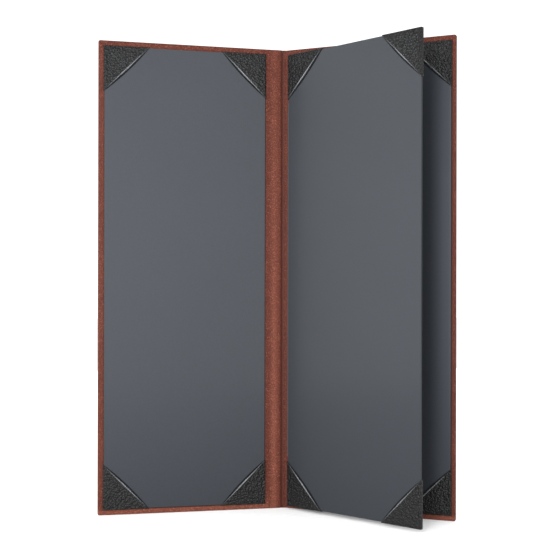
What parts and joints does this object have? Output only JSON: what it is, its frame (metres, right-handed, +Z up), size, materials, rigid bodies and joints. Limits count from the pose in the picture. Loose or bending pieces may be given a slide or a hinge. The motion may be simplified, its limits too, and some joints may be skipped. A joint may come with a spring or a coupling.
{
  "type": "menu cover",
  "caption": "Open booklet menu cover in turned-edge leatherette, with black card liners, album corners that hold long sheets, and a hinged middle leaf.",
  "frame": {"origin": "on the ground under the spine, halfway between the two fold lines and halfway through the spine's thickness", "axes": "+Z up along the spine, -Y towards the reader, +X to the reader's right; the spine's face is square to Y"},
  "size_m": [0.2198, 0.0945, 0.306],
  "materials": {
    "leatherette": "fine grained, semi-matt, reddish brown",
    "corner_leatherette": "pebbled, semi-matt, black",
    "satin_liner": "smooth black satin film on card",
    "greyboard": "raw grey board",
    "glue_and_filler": "black dyed paper and dried black glue",
    "hinge_cloth": "plain woven black book cloth"
  },
  "bodies": {
    "spine": {"spine_board": "greyboard", "spine_skin": "leatherette", "front_hinge_web": "leatherette", "back_hinge_web": "leatherette"},
    "front_cover": {"front_board": "greyboard", "front_skin": "leatherette", "front_backing": "glue_and_filler", "front_liner": "satin_liner", "front_corner_top_outer": "corner_leatherette", "front_corner_top_inner": "corner_leatherette", "front_corner_bottom_outer": "corner_leatherette", "front_corner_bottom_inner": "corner_leatherette"},
    "back_cover": {"back_board": "greyboard", "back_skin": "leatherette", "back_backing": "glue_and_filler", "back_liner": "satin_liner", "back_corner_top_outer": "corner_leatherette", "back_corner_top_inner": "corner_leatherette", "back_corner_bottom_outer": "corner_leatherette", "back_corner_bottom_inner": "corner_leatherette", "leaf_hinge_foot": "hinge_cloth", "leaf_hinge_web": "hinge_cloth"},
    "leaf": {"leaf_reader_card": "satin_liner", "leaf_cover_card": "satin_liner", "leaf_core": "glue_and_filler", "leaf_hinge_tongue": "hinge_cloth", "leaf_reader_corner_top_outer": "corner_leatherette", "leaf_reader_corner_top_inner": "corner_leatherette", "leaf_reader_corner_bottom_outer": "corner_leatherette", "leaf_reader_corner_bottom_inner": "corner_leatherette", "leaf_cover_corner_top_outer": "corner_leatherette", "leaf_cover_corner_top_inner": "corner_leatherette", "leaf_cover_corner_bottom_outer": "corner_leatherette", "leaf_cover_corner_bottom_inner": "corner_leatherette"}
  },
  "joints": [
    {"name": "front_fold", "type": "hinge", "parent": "spine", "child": "front_cover", "pos_m": [-0.00453, 0, 0], "axis": [0, 0, 1], "range_deg": [0, 90], "deforming": ["front_hinge_web"]},
    {"name": "back_fold", "type": "hinge", "parent": "spine", "child": "back_cover", "pos_m": [0.00453, 0, 0], "axis": [0, 0, -1], "range_deg": [-34, 56], "deforming": ["back_hinge_web"]},
    {"name": "leaf_fold", "type": "hinge", "parent": "back_cover", "child": "leaf", "pos_m": [0.00465, -0.00554, 0], "axis": [0, 0, -1], "range_deg": [-20.5, 0], "deforming": ["leaf_hinge_web"]}
  ],
  "couplings": [
    {"joint": "leaf_fold", "follows": "front_fold", "ratio": -0.2277}
  ]
}
